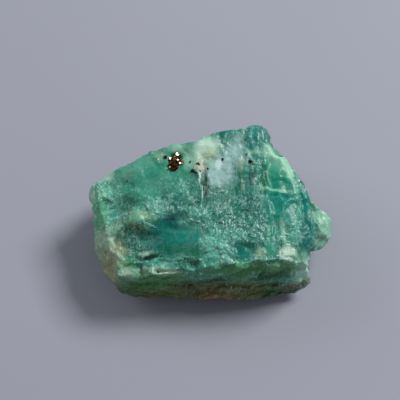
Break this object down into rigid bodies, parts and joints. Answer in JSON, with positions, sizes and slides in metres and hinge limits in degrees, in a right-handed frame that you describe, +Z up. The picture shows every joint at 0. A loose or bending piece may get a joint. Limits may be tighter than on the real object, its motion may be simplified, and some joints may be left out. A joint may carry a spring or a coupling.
{
  "type": "green hauyne, rough",
  "caption": "Broken lump of green gem rough with a cluster of brassy metallic crystals set in its upper face, lying on a small flat spot.",
  "frame": {"origin": "middle of the lump's box, on the plane that it rests on", "axes": "+X along the lump's length towards its small side lobe, +Y towards the far side, +Z up out of the show face"},
  "size_m": [0.0458, 0.0326, 0.0186],
  "materials": {
    "stone": "glassy to sugary broken crystal, blue-green with milky, cream and moss-green zones",
    "pyrite": "bright metallic crystal faces, tarnished brown"
  },
  "bodies": {
    "root": {"stone": "stone", "pyrite_cluster": "pyrite"}
  },
  "joints": []
}
